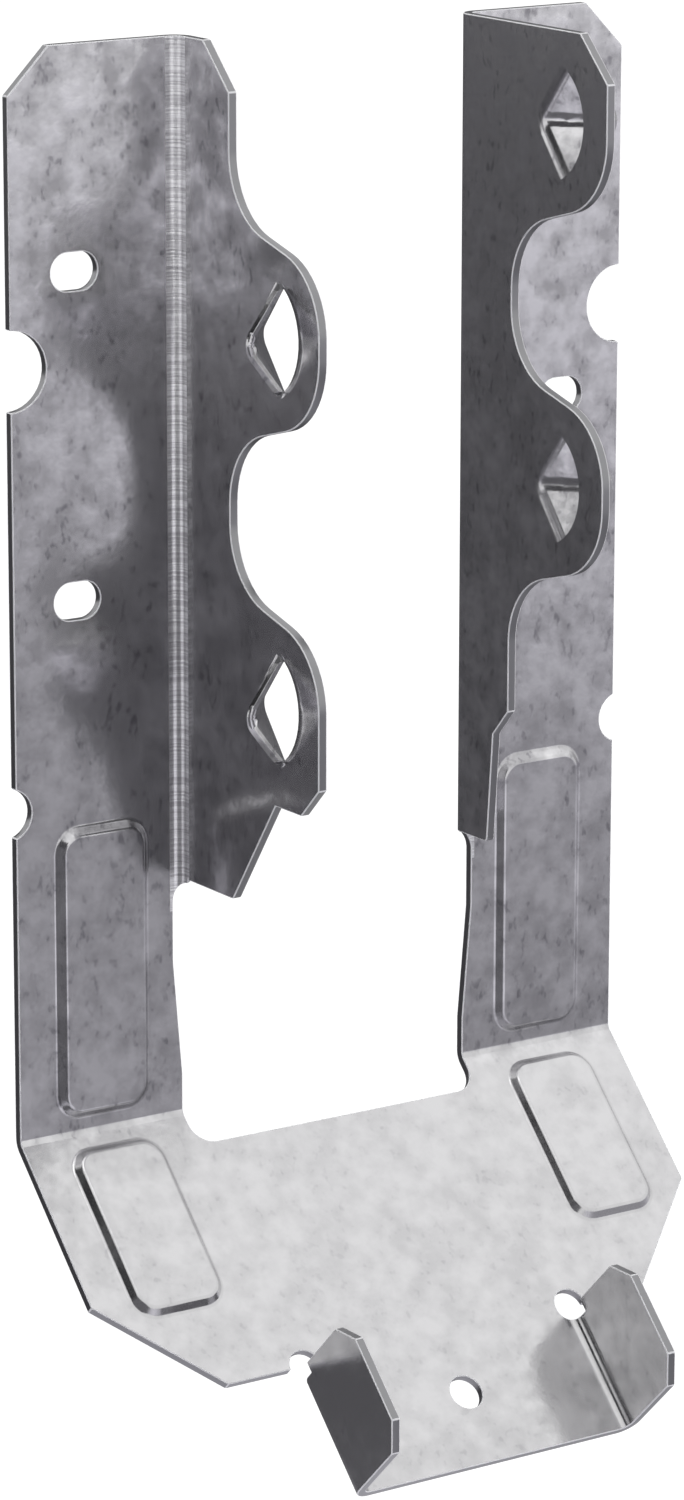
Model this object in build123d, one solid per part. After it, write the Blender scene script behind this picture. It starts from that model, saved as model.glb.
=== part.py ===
from build123d import *

import math
import os

# Rafter hanger: one blank of galvanised sheet, cut, embossed and folded.
# Two flanges stand against the header, two side plates reach forward along the rafter,
# and a seat slopes down under it and ends in a tongue with two upright tabs.
# The origin is on the header's face, in the middle, level with the seat fold.
# +X is to the right, +Y goes into the header and +Z is up. Sizes are in millimetres.

# Sheet and folds
sheet = 1.2
fold_radius = 1.3
fold_relief = 2.85
rafter_gap = 39.7

# Flanges, with notches in their outer edges and slotted nail holes
overall_width = 88.9
flange_height = 133.35
flange_corner = 5.6
throat_half_width = 21.1
throat_taper_low = 5.0
throat_taper_high = 19.6
large_notch_from_top = 38.1
large_notch_radius = 4.9
small_notch_height = 41.45
small_notch_radius = 3.17
small_notch_offset = 1.0
header_nail_place = 35.6
header_nail_length = 6.45
header_nail_width = 4.65
header_nail_pitch = 39.8
left_nail_from_top = 26.9
right_nail_from_top = 9.25

# Side plates: the free edge waves between hollows and lobes, and the left is the right's counterpart.
# A rise is measured up from the plate's bottom, and a wave's corners are 3/7 of its pitch in radius.
plate_bottom = 30.05
lobe_reach = 30.2
hollow_reach = 11.1
plate_corner = 5.6
first_lobe_from_top = 11.3
last_lobe_rise = 25.325
wave_slope = 15.0
wave_roundness = 3 / 7
left_lobe_rise = 13.65
left_lobe_corner = 3.75
left_foot_reach = 20.9
left_toe_reach = 11.5
right_step_rise = 17.65
right_step_drop = 3.5
right_step_reach = 7.95
right_toe_reach = 6.8
toe_corner = 0.6

# Nail domes: a flap behind each slit is pushed away from the rafter as a ridged half pyramid
dome_start = 17.05
dome_end = 23.2
dome_rise = 5.5
dome_wall = 1.1
dome_slope = 36.0
dome_nose_radius = 3.0
dome_bend = 0.9
dome_front_radius = 24.4
dome_lift = 0.25
slit_radius = 7.5
slit_reach = 25.5
lip_width = 1.5
lip_depth = 0.3

# Seat and its tongue, measured down the slope from the fold
seat_angle = 45.0
seat_rear = 4.75
seat_rear_radius = 3.0
seat_side = 22.95
seat_corner = 13.45
tongue_front = 53.95
seat_nail_place = 44.45
seat_nail_radius = 2.2

# Tabs at the sides of the tongue, and the round relief at the back of each tab's fold
tab_rear = 36.8
tab_height = 14.1
tab_corner = 3.05
relief_place = 36.4
relief_radius = 2.15
relief_height = 2.3

# Embossed stiffening pads on the flanges and the seat
pad_width = 13.0
pad_place = 32.6
pad_radius = 3.2
pad_rise = 0.9
pad_draft = 45.0
pad_edge_radius = 0.7
flange_pad_low = 2.0
flange_pad_high = 38.7
seat_pad_rear = 2.4
seat_pad_front = 26.0

# Worked-out sizes
half_gap = rafter_gap / 2
half_width = overall_width / 2
fold_line = half_gap + sheet + fold_radius
seat_turn = math.radians(seat_angle)
seat_fold_run = fold_radius * math.tan(seat_turn / 2)
tongue_half_width = half_gap - fold_radius
seat_shoulder = seat_side + seat_corner
wave_top = flange_height - first_lobe_from_top
wave_pitch = (wave_top - plate_bottom - last_lobe_rise) / 3
wave_radius = wave_pitch * wave_roundness
large_notch_height = flange_height - large_notch_from_top
through = 4 * sheet

# Faces of the folded sheet. The flange front and the seat top share the seat fold as y = 0.
flange_front = Plane(origin=(0, -sheet, 0), x_dir=(1, 0, 0), z_dir=(0, -1, 0))
seat_normal = (0, -math.sin(seat_turn), math.cos(seat_turn))
seat_slope = (0, -math.cos(seat_turn), -math.sin(seat_turn))
seat_top = Plane(origin=(0, -sheet, 0), x_dir=(1, 0, 0), z_dir=seat_normal)


def side_face(side, x_dir=(0, -1, 0)):
    """Inner face of a side plate or tab: x is the reach, y the height, and z points left."""
    return Plane(origin=(side * half_gap, -sheet, 0), x_dir=x_dir, z_dir=(-1, 0, 0))


def outline(points):
    """Closed face through points (x, y), or (x, y, radius) where the corner is rounded."""
    radii = [point[2] if len(point) == 3 else 0 for point in points]
    return make_face(FilletPolyline([point[:2] for point in points], radius=radii, close=True))


def both_sides(solid):
    """A right-hand solid and its mirror image on the left."""
    return solid + mirror(solid, about=Plane.YZ)


def fold(axis, start, turn, length):
    """Bent strip along the plane's z, about its origin, from the start angle through the turn."""
    outer = fold_radius + sheet
    rays = [math.radians(start), math.radians(start + turn)]
    wedge = [(2 * outer * math.cos(ray), 2 * outer * math.sin(ray)) for ray in rays]
    section = (Circle(outer) - Circle(fold_radius)) & make_face(Polyline((0, 0), *wedge, close=True))
    return extrude(axis * section, amount=length)


def flange():
    """Right flange: clipped top corner, two notches, and a throat edge that tapers to the seat."""
    face = outline([
        (fold_line, flange_height),
        (half_width - flange_corner, flange_height),
        (half_width, flange_height - flange_corner),
        (half_width, seat_fold_run),
        (throat_half_width, seat_fold_run),
        (throat_half_width, throat_taper_low),
        (fold_line, throat_taper_high),
    ])
    face -= Pos(half_width, large_notch_height) * Circle(large_notch_radius)
    face -= Pos(half_width + small_notch_offset, small_notch_height) * Circle(small_notch_radius)
    return extrude(flange_front * face, amount=-sheet)


def header_nail_slots(side, from_top):
    """Two slotted nail holes through one flange, the upper one so far from its top."""
    slots = [
        Pos(side * header_nail_place, flange_height - from_top - step * header_nail_pitch)
        * SlotOverall(header_nail_length, header_nail_width)
        for step in range(2)
    ]
    return extrude(flange_front * Sketch(slots), amount=through, both=True)


def header_fold():
    """Upright fold from the right flange to its side plate, with a round relief at its foot."""
    foot = plate_bottom - fold_relief
    axis = Plane(origin=(fold_line, -sheet - fold_radius, foot))
    relief = Pos(fold_line - fold_relief, 0, foot) * Cylinder(fold_relief, 2 * through, rotation=(90, 0, 0))
    return fold(axis, 90, 90, flange_height - foot) - relief


def wave(reaches, count):
    """Corners of a free edge that runs down from one reach to the other and back, count times."""
    drop = (lobe_reach - hollow_reach) / 2 * math.tan(math.radians(wave_slope))
    points = []
    for step in range(count):
        middle = wave_top - wave_pitch * (step + 0.5)
        points.append((reaches[step % 2], middle + drop, wave_radius))
        points.append((reaches[(step + 1) % 2], middle - drop, wave_radius))
    return points


def left_plate():
    """Left side plate: hollow, lobe, hollow, and a lobe that ends in a slanted foot."""
    lobe_bottom = plate_bottom + left_lobe_rise
    face = outline([
        (fold_radius, flange_height),
        (hollow_reach - plate_corner, flange_height),
        (hollow_reach, flange_height - plate_corner),
        *wave((hollow_reach, lobe_reach), 3),
        (lobe_reach, lobe_bottom + left_lobe_corner),
        (lobe_reach - left_lobe_corner, lobe_bottom),
        (left_foot_reach, lobe_bottom),
        (left_toe_reach, plate_bottom, toe_corner),
        (fold_radius, plate_bottom),
    ])
    return extrude(side_face(-1) * face, amount=sheet)


def right_plate():
    """Right side plate: lobe, hollow, lobe, and a narrow leg with a step in its edge."""
    step_top = plate_bottom + right_step_rise
    face = outline([
        (fold_radius, flange_height),
        (lobe_reach - plate_corner, flange_height),
        (lobe_reach, flange_height - plate_corner),
        *wave((lobe_reach, hollow_reach), 3),
        (hollow_reach, step_top),
        (right_step_reach, step_top - right_step_drop),
        (right_toe_reach, plate_bottom, toe_corner),
        (fold_radius, plate_bottom),
    ])
    return extrude(side_face(1) * face, amount=-sheet)


def disc_to(reach, radius):
    """Upright disc through the plate and the dome, with its front at the given reach."""
    return Pos(reach - radius, 0, 0) * Cylinder(radius, 4 * dome_rise)


def dome_form(base, wall, bend):
    """Slab with a ridge on it that climbs from the dome's tip to the slit, blended at its foot.

    The frame has x along the reach, y up the plate and z away from the rafter, with z = 0
    on the plate's inner face. The wall is how far the form lies inside the dome's outside.
    """
    lean = math.radians(dome_slope)
    climb = dome_rise / (dome_end - dome_start)
    nose_radius = dome_nose_radius - wall
    nose_centre = sheet + dome_rise - dome_nose_radius
    shoulder = (nose_radius * math.sin(lean), nose_centre + nose_radius * math.cos(lean))
    floor = base - sheet / 2
    foot = shoulder[0] + (shoulder[1] - floor) / math.tan(lean)
    nose = ThreePointArc(shoulder, (0, nose_centre + nose_radius), (-shoulder[0], shoulder[1]))
    sides = Polyline((-shoulder[0], shoulder[1]), (-foot, floor), (foot, floor), shoulder)
    slit_plane = Plane(origin=(dome_end, 0, 0), x_dir=(0, 1, 0), z_dir=(1, 0, 0))
    ridge = extrude(slit_plane * make_face([nose, sides]), amount=4 * dome_rise, dir=(-1, 0, -climb))
    length = dome_end - dome_start + 2 * bend
    behind = (Align.MAX, Align.CENTER, Align.MIN)
    room = Pos(dome_end, 0, floor) * Box(length, 4 * foot, 2 * dome_rise, align=behind)
    slab = Pos(dome_end, 0, floor) * Box(length, 4 * foot, base - floor, align=behind)
    form = slab + (ridge & room)
    ridge_foot = (
        form.edges()
        .filter_by_position(Axis.Z, base, base)
        .filter_by_position(Axis.X, dome_end - length, dome_end, inclusive=(False, False))
        .filter_by_position(Axis.Y, -foot, foot)
    )
    form = fillet(ridge_foot, bend)
    return form & disc_to(slit_reach, slit_radius) & disc_to(dome_end, dome_front_radius)


def dome_slit():
    """Lens-shaped opening in front of the flap, with its outer lip pressed to a shallow bevel."""
    rim = Pos(slit_reach - slit_radius, 0, sheet - lip_depth) * Circle(slit_radius)
    lip = extrude(rim, amount=lip_width + lip_depth, dir=(lip_width, 0, lip_depth))
    return disc_to(slit_reach, slit_radius) + lip - disc_to(dome_end, dome_front_radius)


def with_domes(plate, side, steps):
    """The plate with a nail dome on each lobe. Steps count half waves down from the wave's top."""
    for step in steps:
        height = wave_top - wave_pitch * step + dome_lift
        place = Plane(origin=(side * half_gap, -sheet, height), x_dir=(0, -1, 0), z_dir=(side, 0, 0))
        plate += place * dome_form(sheet, 0, dome_bend)
        plate -= place * dome_form(0, dome_wall, dome_bend + sheet)
        plate -= place * dome_slit()
    return plate


def seat():
    """Sloping seat with clipped corners, narrowing to the tongue between the tabs' folds."""
    half = [
        (throat_half_width, -seat_rear, seat_rear_radius),
        (throat_half_width, -seat_fold_run),
        (half_width, -seat_fold_run),
        (half_width, -seat_side),
        (half_width - seat_corner, -seat_shoulder),
        (tongue_half_width, -seat_shoulder),
        (tongue_half_width, -tongue_front),
    ]
    other_half = [(-point[0], *point[1:]) for point in reversed(half)]
    return extrude(seat_top * outline(half + other_half), amount=-sheet)


def seat_fold():
    """Fold from the right flange down to the seat."""
    origin = (throat_half_width, -sheet - fold_radius, seat_fold_run)
    axis = Plane(origin=origin, x_dir=(0, 1, 0), z_dir=(1, 0, 0))
    return fold(axis, -seat_angle, seat_angle, half_width - throat_half_width)


def tab():
    """Right tab with clipped corners, and the fold that stands it on the tongue's edge."""
    face = outline([
        (tab_rear, fold_radius),
        (tab_rear, tab_height - tab_corner),
        (tab_rear + tab_corner, tab_height),
        (tongue_front - tab_corner, tab_height),
        (tongue_front, tab_height - tab_corner),
        (tongue_front, fold_radius),
    ])
    upright = extrude(side_face(1, seat_slope) * face, amount=-sheet)
    origin = seat_top.from_local_coords((tongue_half_width, -tab_rear, fold_radius))
    axis = Plane(origin=origin, x_dir=(1, 0, 0), z_dir=seat_slope)
    return upright + fold(axis, -90, 90, tongue_front - tab_rear)


def tab_relief():
    """Round hole at the back end of the right tab's fold, through the seat and the tab's root."""
    hole = Cylinder(relief_radius, relief_height + 2 * sheet, align=(Align.CENTER, Align.CENTER, Align.MIN))
    return seat_top * Pos(half_gap, -relief_place, -2 * sheet) * hole


def pad(plane, low, high):
    """Right pad as a pair of solids: the blended block to add, and the hollow pressed behind it."""
    middle = (low + high) / 2
    length = high - low
    margin = 2 * pad_edge_radius
    inset = sheet * math.tan(math.radians((90 - pad_draft) / 2))
    raised = RectangleRounded(pad_width, length, pad_radius)
    around = RectangleRounded(pad_width + 2 * margin, length + 2 * margin, pad_radius + margin)
    hollow = RectangleRounded(pad_width - 2 * inset, length - 2 * inset, pad_radius - inset)
    block = extrude(raised, amount=pad_rise, taper=pad_draft) + extrude(around, amount=-sheet / 2)
    crest = block.faces().sort_by(Axis.Z)[-1].edges()
    foot = block.edges().filter_by_position(Axis.Z, 0, 0).filter_by_position(Axis.X, -pad_width / 2, pad_width / 2)
    block = fillet(crest + foot.filter_by_position(Axis.Y, -length / 2, length / 2), pad_edge_radius)
    pocket = Pos(0, 0, -sheet) * extrude(hollow, amount=pad_rise, taper=pad_draft)
    place = plane * Pos(pad_place, middle, 0)
    return place * block, place * pocket


def rafter_hanger():
    """The whole folded sheet as one solid."""
    body = both_sides(flange() + header_fold() + seat_fold()) + seat() + both_sides(tab())
    body += with_domes(left_plate(), -1, (1, 3))
    body += with_domes(right_plate(), 1, (0, 2))
    body -= header_nail_slots(-1, left_nail_from_top)
    body -= header_nail_slots(1, right_nail_from_top)
    body -= both_sides(tab_relief())
    body -= seat_top * Pos(0, -seat_nail_place) * Cylinder(seat_nail_radius, 2 * through)
    for plane, low, high in (
        (flange_front, flange_pad_low, flange_pad_high),
        (seat_top, -seat_pad_front, -seat_pad_rear),
    ):
        block, pocket = pad(plane, low, high)
        body += both_sides(block)
        body -= both_sides(pocket)
    return body


os.makedirs("parts", exist_ok=True)
hanger = rafter_hanger()
export_step(hanger, "parts/rafter_hanger.step")
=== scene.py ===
import math
from functools import partial

import bmesh
import bpy
from mathutils import Matrix, Vector
from mathutils.bvhtree import BVHTree


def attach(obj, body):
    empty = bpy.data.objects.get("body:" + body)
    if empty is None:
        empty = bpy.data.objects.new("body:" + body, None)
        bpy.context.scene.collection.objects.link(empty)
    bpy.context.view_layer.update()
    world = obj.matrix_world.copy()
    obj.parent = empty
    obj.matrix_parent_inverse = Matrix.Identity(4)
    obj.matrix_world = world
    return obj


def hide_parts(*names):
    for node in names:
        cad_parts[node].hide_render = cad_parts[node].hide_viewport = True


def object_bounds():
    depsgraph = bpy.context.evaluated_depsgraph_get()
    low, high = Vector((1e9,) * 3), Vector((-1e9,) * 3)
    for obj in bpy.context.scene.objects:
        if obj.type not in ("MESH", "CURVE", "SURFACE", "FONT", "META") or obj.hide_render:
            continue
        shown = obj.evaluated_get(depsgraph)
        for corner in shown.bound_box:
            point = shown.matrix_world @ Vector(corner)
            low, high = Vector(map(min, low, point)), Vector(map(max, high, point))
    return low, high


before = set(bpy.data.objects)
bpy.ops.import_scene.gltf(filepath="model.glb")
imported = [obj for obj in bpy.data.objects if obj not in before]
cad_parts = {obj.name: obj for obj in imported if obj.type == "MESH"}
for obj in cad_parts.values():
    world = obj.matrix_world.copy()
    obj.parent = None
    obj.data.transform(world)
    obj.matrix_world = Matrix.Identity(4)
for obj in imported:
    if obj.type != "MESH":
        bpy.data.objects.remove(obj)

cad_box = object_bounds()

# The hanger is one blank of zinc-coated sheet steel, cut, embossed and folded.
# It carries the forms of the frame's own node. Here its shared points are joined, its folds are
# shaded smooth, and its cut edges get a duller finish and the small break that a shear leaves.
point_gap = 0.000002
flat_angle = math.radians(0.2)
ray_start = 0.00002
deepest_sheet = 0.00175
sharp_angle = math.radians(40)
edge_break = 0.00013
break_segments = 2
flat_face_weight = 100
side_zone = 0.0185
lowest_lobe = 0.0556
lobe_pitch = 0.02222
lobe_count = 4
lobe_middle = -0.0219
dome_half_size = 0.0089


def by_a_dome(point):
    """Whether a point is on a nail dome or its slit, in the middle of one of the four lobes."""
    heights = [lowest_lobe + lobe_pitch * step for step in range(lobe_count)]
    away = min(math.hypot(point.y - lobe_middle, point.z - height) for height in heights)
    return abs(point.x) > side_zone and away < dome_half_size


def joined_copy(mesh):
    """The mesh with the points of its loose triangles joined, and flat runs of them made one face.

    A face with more metal behind it than the sheet is thick is a cut edge, and takes the
    second material. The sharp edges are marked for breaking, apart from those of the nail
    domes, which the press rounds over.
    """
    shape = bmesh.new()
    shape.from_mesh(mesh)
    bmesh.ops.remove_doubles(shape, verts=shape.verts, dist=point_gap)
    bmesh.ops.dissolve_degenerate(shape, edges=shape.edges, dist=point_gap)
    metal = BVHTree.FromBMesh(shape)
    for face in shape.faces:
        inward = -face.normal
        depth = metal.ray_cast(face.calc_center_median() + inward * ray_start, inward)[3]
        face.material_index = int(depth is not None and depth > deepest_sheet)
        face.smooth = True
    bmesh.ops.dissolve_limit(
        shape, verts=shape.verts, edges=shape.edges, angle_limit=flat_angle, delimit={"MATERIAL"}
    )
    shape.normal_update()
    broken = shape.edges.layers.float.new("bevel_weight_edge")
    for edge in shape.edges:
        middle = (edge.verts[0].co + edge.verts[1].co) / 2
        edge[broken] = float(edge.calc_face_angle(0.0) > sharp_angle and not by_a_dome(middle))
    joined = bpy.data.meshes.new("folded_sheet")
    shape.to_mesh(joined)
    shape.free()
    return joined


folded_sheet = bpy.data.objects.new("folded_sheet", joined_copy(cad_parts["rafter_hanger"].data))
bpy.context.scene.collection.objects.link(folded_sheet)

broken_edges = folded_sheet.modifiers.new("broken_edges", "BEVEL")
broken_edges.width = edge_break
broken_edges.segments = break_segments
broken_edges.limit_method = "WEIGHT"
broken_edges.use_clamp_overlap = False

flat_faces = folded_sheet.modifiers.new("flat_faces", "WEIGHTED_NORMAL")
flat_faces.mode = "FACE_AREA"
flat_faces.weight = flat_face_weight

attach(folded_sheet, "root")
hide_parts("rafter_hanger")

# The finish is hot-dip zinc, bright and fairly smooth. Its crystals are small and soft-edged, and
# show as lighter and darker patches with small dark flecks, faint on the seat and clear above it.
zinc_bright = (0.745, 0.74, 0.755, 1.0)
zinc_dull = (0.435, 0.43, 0.445, 1.0)
zinc_even = (0.605, 0.602, 0.61, 1.0)
fleck_colour = (0.29, 0.285, 0.305, 1.0)
seat_share = 0.25
seat_fold_reach = 0.002
clouds_per_metre = 170.0
cloud_detail = 3.0
patches_per_metre = 430.0
patch_detail = 4.0
patch_share = 0.5
noise_low = 0.38
noise_high = 0.62
fleck_free_mottle = 0.55
flecked_mottle = 0.40
flecks_per_metre = (1150.0, 1150.0, 700.0)
fleck_detail = 1.5
fleck_rim = 0.56
fleck_core = 0.72
dull_roughness = 0.26
bright_roughness = 0.14
ripple_height = 0.00005


def new_material(name, values):
    """A new material, and its surface node with these values."""
    material = bpy.data.materials.new(name)
    material.use_nodes = True
    surface = material.node_tree.nodes["Principled BSDF"]
    for socket, value in values.items():
        surface.inputs[socket].default_value = value
    return material, surface


def new_node(material, kind, values, sources, **settings):
    """First output of a new node of a material, with its settings, values and incoming links."""
    node = material.node_tree.nodes.new(kind)
    for name, value in settings.items():
        setattr(node, name, value)
    for socket, value in values.items():
        node.inputs[socket].default_value = value
    for socket, source in sources.items():
        material.node_tree.links.new(source, node.inputs[socket])
    return next(output for output in node.outputs if output.enabled)


zinc, zinc_surface = new_material("hot_dip_zinc", {"Metallic": 1.0})
zinc_node = partial(new_node, zinc)

place = zinc.node_tree.nodes.new("ShaderNodeTexCoord").outputs["Object"]
axes = zinc_node("ShaderNodeSeparateXYZ", {}, {"Vector": place}).node.outputs
mottle_share = zinc_node(
    "ShaderNodeMapRange",
    {"From Min": -seat_fold_reach, "From Max": seat_fold_reach, "To Min": seat_share},
    {"Value": axes["Z"]},
)
clouds = zinc_node(
    "ShaderNodeTexNoise", {"Scale": clouds_per_metre, "Detail": cloud_detail}, {"Vector": place}
)
patches = zinc_node(
    "ShaderNodeTexNoise", {"Scale": patches_per_metre, "Detail": patch_detail}, {"Vector": place}
)
mottle = zinc_node("ShaderNodeMix", {"Factor": patch_share}, {"A": clouds, "B": patches})
brightness = zinc_node(
    "ShaderNodeMapRange", {"From Min": noise_low, "From Max": noise_high}, {"Value": mottle}
)
dullness = zinc_node(
    "ShaderNodeMapRange", {"From Min": fleck_free_mottle, "From Max": flecked_mottle}, {"Value": mottle}
)
patched = zinc_node(
    "ShaderNodeMix", {"A": zinc_dull, "B": zinc_bright}, {"Factor": brightness}, data_type="RGBA"
)
tint = zinc_node(
    "ShaderNodeMix", {"A": zinc_even}, {"Factor": mottle_share, "B": patched}, data_type="RGBA"
)

fleck_place = zinc_node("ShaderNodeMapping", {"Scale": flecks_per_metre}, {"Vector": place})
flecks = zinc_node("ShaderNodeTexNoise", {"Scale": 1.0, "Detail": fleck_detail}, {"Vector": fleck_place})
fleck_share = zinc_node("ShaderNodeMath", {}, {0: mottle_share, 1: dullness}, operation="MULTIPLY")
fleck_mask = zinc_node(
    "ShaderNodeMapRange",
    {"From Min": fleck_rim, "From Max": fleck_core},
    {"Value": flecks, "To Max": fleck_share},
    interpolation_type="SMOOTHSTEP",
)
flecked = zinc_node(
    "ShaderNodeMix", {"B": fleck_colour}, {"Factor": fleck_mask, "A": tint}, data_type="RGBA"
)
gloss = zinc_node(
    "ShaderNodeMapRange", {"To Min": dull_roughness, "To Max": bright_roughness}, {"Value": brightness}
)

# The two upright folds were drawn over the die, which left fine level scratches across them,
# down to the quarter-round reliefs at their feet. Their colour is a painted highlight: lighter than the
# zinc, with the scratch lines near white.
fold_middle = 0.0217
fold_depth = -0.0018
fold_reach = 0.0011
fold_foot = 0.026
# Painted highlight: the folds' two colours are lighter than the rest of the zinc.
fold_highlight_zinc = (0.64, 0.635, 0.65, 1.0)
scratch_highlight_line = (0.96, 0.96, 0.97, 1.0)
scratches_per_metre = (120.0, 120.0, 4800.0)
scratch_detail = 2.0
scratch_roughness = 0.30

to_middle = zinc_node("ShaderNodeMath", {}, {0: axes["X"]}, operation="ABSOLUTE")
beside = zinc_node("ShaderNodeMath", {1: fold_middle, 2: fold_reach}, {0: to_middle}, operation="COMPARE")
behind = zinc_node("ShaderNodeMath", {1: fold_depth, 2: fold_reach}, {0: axes["Y"]}, operation="COMPARE")
above_foot = zinc_node("ShaderNodeMath", {1: fold_foot}, {0: axes["Z"]}, operation="GREATER_THAN")
in_fold = zinc_node("ShaderNodeMath", {}, {0: beside, 1: behind}, operation="MULTIPLY")
at_fold = zinc_node("ShaderNodeMath", {}, {0: in_fold, 1: above_foot}, operation="MULTIPLY")
scratch_place = zinc_node("ShaderNodeMapping", {"Scale": scratches_per_metre}, {"Vector": place})
scratches = zinc_node(
    "ShaderNodeTexNoise", {"Scale": 1.0, "Detail": scratch_detail}, {"Vector": scratch_place}
)
scratch_share = zinc_node(
    "ShaderNodeMapRange", {"From Min": noise_low, "From Max": noise_high}, {"Value": scratches}
)
scratches_and_highlight = zinc_node(
    "ShaderNodeMix", {"A": fold_highlight_zinc, "B": scratch_highlight_line}, {"Factor": scratch_share}, data_type="RGBA"
)
finish = zinc_node("ShaderNodeMix", {}, {"Factor": at_fold, "A": flecked, "B": scratches_and_highlight}, data_type="RGBA")
roughness = zinc_node("ShaderNodeMix", {"B": scratch_roughness}, {"Factor": at_fold, "A": gloss})
relief = zinc_node("ShaderNodeMix", {}, {"Factor": at_fold, "A": mottle, "B": scratches})
ripple = zinc_node("ShaderNodeBump", {"Distance": ripple_height}, {"Height": relief})
for socket, source in (("Base Color", finish), ("Roughness", roughness), ("Normal", ripple)):
    zinc.node_tree.links.new(source, zinc_surface.inputs[socket])
folded_sheet.data.materials.append(zinc)

# The cut edges show bare steel that the zinc has only crept over, so they are greyer and duller.
# The arrises along them are painted near white, a painted highlight line that shows light from all round.
edge_colour = (0.29, 0.29, 0.30, 1.0)
edge_roughness = 0.28
arris_highlight_colour = (0.92, 0.92, 0.93, 1.0)
arris_roughness = 0.95
for name, colour, dulling in (
    ("cut_steel", edge_colour, edge_roughness),
    ("painted_arris_highlight", arris_highlight_colour, arris_roughness),
):
    steel, _ = new_material(name, {"Metallic": 1.0, "Base Color": colour, "Roughness": dulling})
    folded_sheet.data.materials.append(steel)
# The small breaks of the edges take the last material, so they carry the painted highlight line.
broken_edges.material = len(folded_sheet.data.materials) - 1

# The hanger hangs from the header's face in use, so the pale studio floor lies well below it.
# The floor is lit from above, and shows a little lighter to the camera and in the metal.
floor_gap = 0.09
floor_half_size = 3.0
floor_height = cad_box[0][2] - floor_gap
floor_grey = (0.9, 0.9, 0.9, 1.0)
floor_roughness = 0.9
floor_lift = 0.2
white = (1.0, 1.0, 1.0, 1.0)


def stage_face(name, corners, material):
    """One four-sided face between its corners, as a stage object."""
    mesh = bpy.data.meshes.new(name)
    mesh.from_pydata(corners, [], [(0, 1, 2, 3)])
    mesh.materials.append(material)
    face = bpy.data.objects.new(name, mesh)
    bpy.context.scene.collection.objects.link(face)
    return face


def level_square(half_size, height):
    """Corners of a level square about the upright axis."""
    return [(x * half_size, y * half_size, height) for x, y in ((-1, -1), (1, -1), (1, 1), (-1, 1))]


def seen_directly(material):
    """Output that is 1 for the camera's rays and those of reflections and clear pieces."""
    rays = material.node_tree.nodes.new("ShaderNodeLightPath").outputs
    total = rays["Is Camera Ray"]
    for kind in ("Is Glossy Ray", "Is Transmission Ray"):
        total = new_node(material, "ShaderNodeMath", {}, {0: total, 1: rays[kind]}, operation="MAXIMUM")
    return total


floor_paint, floor_surface = new_material(
    "studio_floor",
    {
        "Base Color": floor_grey,
        "Roughness": floor_roughness,
        "Specular IOR Level": 0.0,
        "Emission Color": white,
    },
)
lift = new_node(
    floor_paint, "ShaderNodeMath", {1: floor_lift}, {0: seen_directly(floor_paint)}, operation="MULTIPLY"
)
floor_paint.node_tree.links.new(lift, floor_surface.inputs["Emission Strength"])
stage_face("studio_floor", level_square(floor_half_size, floor_height), floor_paint)

# Grey cards stand round the hanger, as in a metal-ware studio, and only the metal mirrors them.
# One lies just above the floor, its level given at places from left to right, and dark behind the
# hanger. Dark ones stand at the left and behind, and a low one close by at the left front.
card_gap = 0.002
card_half_size = 2.0
card_colour = (1.0, 0.986, 1.06, 1.0)
ground_levels = (
    (-1.20, 0.75),
    (-0.24, 0.62),
    (-0.10, 0.75),
    (0.02, 0.86),
    (0.14, 0.42),
    (0.26, 0.35),
    (0.45, 0.43),
    (0.56, 0.62),
    (1.20, 0.75),
)
ground_front = 0.02
ground_back = 0.14
back_level = 0.11
# Each upright card has its left and right end in plan, its foot, its top and its level.
upright_cards = {
    "front_card": ((-0.50, -1.05), (-0.95, -0.36), 0.15, 0.80, 0.07),
    "near_card": ((-0.073, -0.158), (-0.215, -0.063), floor_height, 0.076, 0.16),
    "left_card": ((-0.95, -0.36), (-1.00, 0.30), 0.40, 1.90, 0.04),
    "back_card": ((-1.00, 0.30), (-0.10, 0.95), floor_height, 0.10, back_level),
    "right_card": ((-0.10, 0.95), (1.10, 0.85), floor_height, 0.55, back_level),
    "far_card": ((1.10, 0.85), (1.30, 0.50), floor_height, 0.55, back_level),
}
card_look = {"Base Color": (0.0, 0.0, 0.0, 1.0), "Specular IOR Level": 0.0, "Emission Color": card_colour}


def stand_card(name, corners, material):
    """A card that shows only in reflections, and neither shades the floor nor blocks a lamp."""
    card = stage_face(name, corners, material)
    card.visible_camera = False
    card.visible_diffuse = False
    card.visible_transmission = False
    card.visible_volume_scatter = False
    card.visible_shadow = False


ground_paint, ground_surface = new_material("ground_card", card_look)
ground_node = partial(new_node, ground_paint)
ground_place = ground_paint.node_tree.nodes.new("ShaderNodeTexCoord").outputs["Object"]
ground_axes = ground_node("ShaderNodeSeparateXYZ", {}, {"Vector": ground_place}).node.outputs
leftmost = ground_levels[0][0]
rightmost = ground_levels[-1][0]
across = ground_node(
    "ShaderNodeMapRange", {"From Min": leftmost, "From Max": rightmost}, {"Value": ground_axes["X"]}
)
ground_ramp = ground_node("ShaderNodeValToRGB", {}, {"Fac": across})
stops = ground_ramp.node.color_ramp.elements
for stop_x, level in ground_levels[1:-1]:
    stop = stops.new((stop_x - leftmost) / (rightmost - leftmost))
    stop.color = (level, level, level, 1.0)
for end in (0, -1):
    level = ground_levels[end][1]
    stops[end].color = (level, level, level, 1.0)
to_back = ground_node(
    "ShaderNodeMapRange", {"From Min": ground_front, "From Max": ground_back}, {"Value": ground_axes["Y"]}
)
ground_level = ground_node("ShaderNodeMix", {"B": back_level}, {"Factor": to_back, "A": ground_ramp})
ground_paint.node_tree.links.new(ground_level, ground_surface.inputs["Emission Strength"])
stand_card("ground_card", level_square(card_half_size, floor_height + card_gap), ground_paint)

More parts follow.
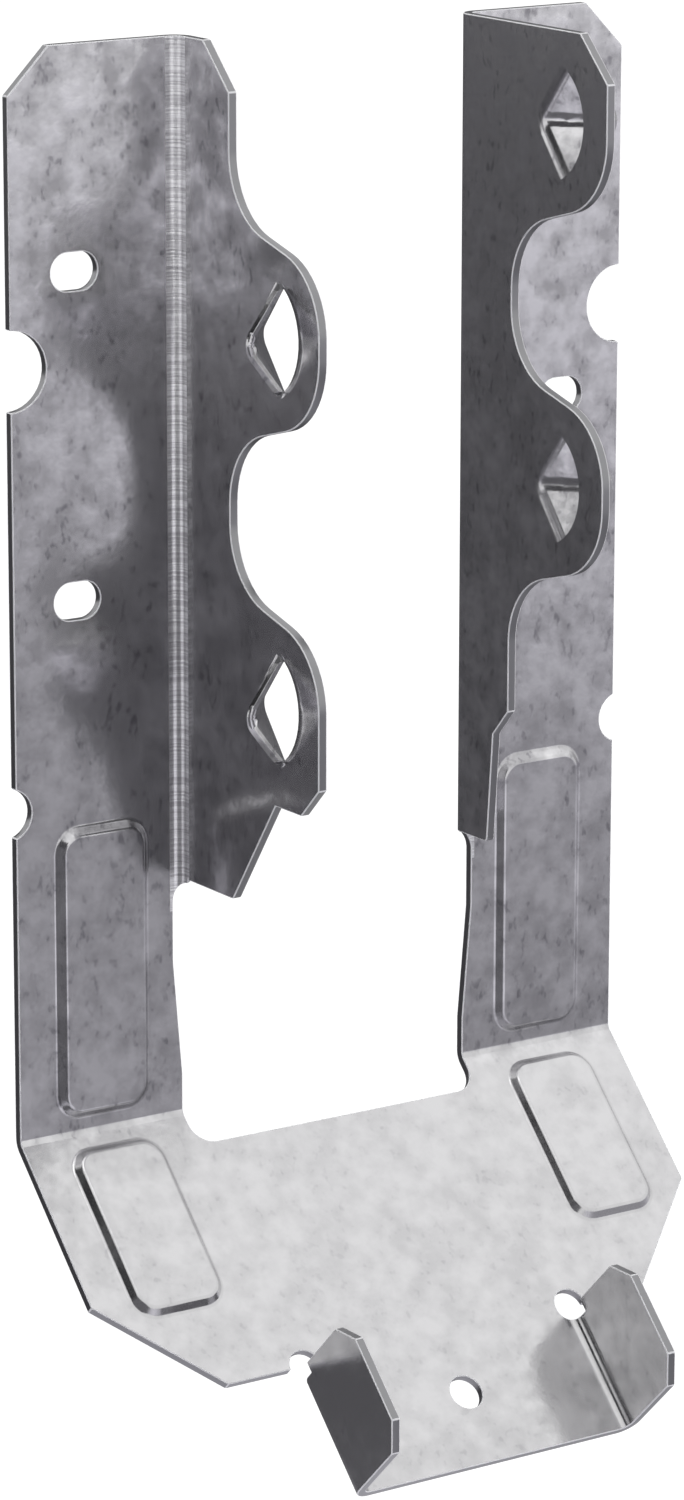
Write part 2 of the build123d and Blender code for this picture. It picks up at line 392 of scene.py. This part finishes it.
for name, ((left_x, left_y), (right_x, right_y), foot, top, level) in upright_cards.items():
    card_corners = [
        (left_x, left_y, foot),
        (right_x, right_y, foot),
        (right_x, right_y, top),
        (left_x, left_y, top),
    ]
    card_paint, _ = new_material(name, card_look | {"Emission Strength": level})
    stand_card(name, card_corners, card_paint)

# The world is plain white, and two soft lamps hang in it: one overhead on the left, which draws
# light lines along the pads' crests, and a weak one above on the right.
# Each lamp has its place, its width and its watts.
lamps = {
    "crest_lamp": ((-0.12, -0.22, 1.00), 0.4, 0.6),
    "side_lamp": ((0.55, -0.20, 0.90), 0.5, 0.1),
}

world = bpy.data.worlds.new("studio")
world.use_nodes = True
world_light = world.node_tree.nodes["Background"]
world_light.inputs["Color"].default_value = white
world_light.inputs["Strength"].default_value = 1.0
bpy.context.scene.world = world

for name, (stand_place, width, watts) in lamps.items():
    lamp = bpy.data.lights.new(name, "AREA")
    lamp.size = width
    lamp.energy = watts
    stand = bpy.data.objects.new(name, lamp)
    stand.location = stand_place
    stand.rotation_euler = (-Vector(stand_place)).to_track_quat("-Z", "Y").to_euler()
    bpy.context.scene.collection.objects.link(stand)

# The camera stands to the left of the hanger and a little above it, with a long lens. It is turned
# round the hanger and tipped down, and then stands back from the point that it aims at.
view_azimuth = math.radians(-33.89)
view_elevation = math.radians(14.20)
view_roll = math.radians(0.09)
view_distance = 0.68595
view_aim = Vector((-0.00481, -0.01216, 0.04627))
picture_height = 36.0
lens_length = 135.04

camera = bpy.data.objects.new("camera", bpy.data.cameras.new("camera"))
camera.data.sensor_fit = "VERTICAL"
camera.data.sensor_height = picture_height
camera.data.lens = lens_length
turn = (
    Matrix.Rotation(view_azimuth, 4, "Z")
    @ Matrix.Rotation(math.pi / 2 - view_elevation, 4, "X")
    @ Matrix.Rotation(view_roll, 4, "Z")
)
stand_back = turn.to_3x3() @ Vector((0, 0, view_distance))
camera.matrix_world = Matrix.Translation(view_aim + stand_back) @ turn
bpy.context.scene.collection.objects.link(camera)
bpy.context.scene.camera = camera

bpy.context.scene.view_settings.view_transform = "Standard"
